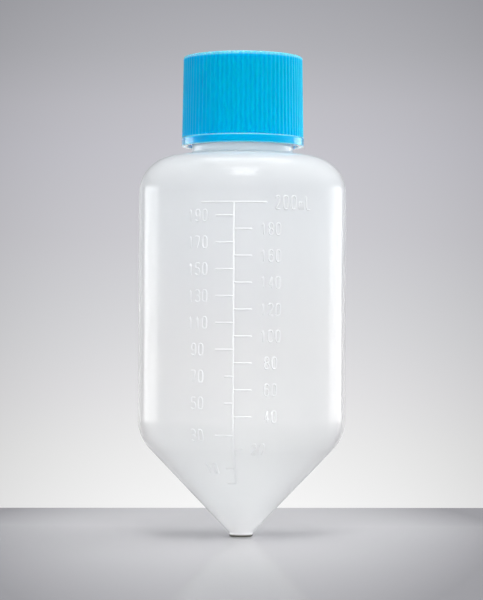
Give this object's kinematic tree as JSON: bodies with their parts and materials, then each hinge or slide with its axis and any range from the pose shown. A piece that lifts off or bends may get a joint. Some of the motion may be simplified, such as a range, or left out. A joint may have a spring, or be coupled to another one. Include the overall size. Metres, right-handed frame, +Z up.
{
  "type": "conical-bottom centrifuge bottle",
  "caption": "Wide cylindrical lab bottle with a conical base, round shoulder, raised volume scale, and a ribbed screw cap that clamps a seal disc on the neck.",
  "frame": {"origin": "centre of the flat foot under the cone's tip, which the bottle stands on", "axes": "+Z up along the bottle's axis through the cap, -Y towards the front with the volume scale, +X to the right of someone who reads the scale"},
  "size_m": [0.061, 0.0612, 0.1409],
  "materials": {
    "bottle_plastic": "natural milky translucent polypropylene, semi-gloss as moulded",
    "seal_foam": "soft white polyethylene foam, matt",
    "cap_plastic": "light blue moulded polyethylene, semi-gloss"
  },
  "bodies": {
    "bottle": {"bottle": "bottle_plastic"},
    "seal_disc": {"seal_disc": "seal_foam"},
    "cap": {"cap": "cap_plastic"}
  },
  "joints": [
    {"name": "cap_lift", "type": "slide", "parent": "bottle", "child": "seal_disc", "axis": [0, 0, 1], "range_m": [0, 0.00635]},
    {"name": "cap_turn", "type": "hinge", "parent": "seal_disc", "child": "cap", "pos_m": [0, 0, 0.1378], "axis": [0, 0, 1], "range_deg": [0, 540]}
  ],
  "couplings": [
    {"joint": "cap_lift", "follows": "cap_turn", "m_per_rad": 0.00067322}
  ]
}
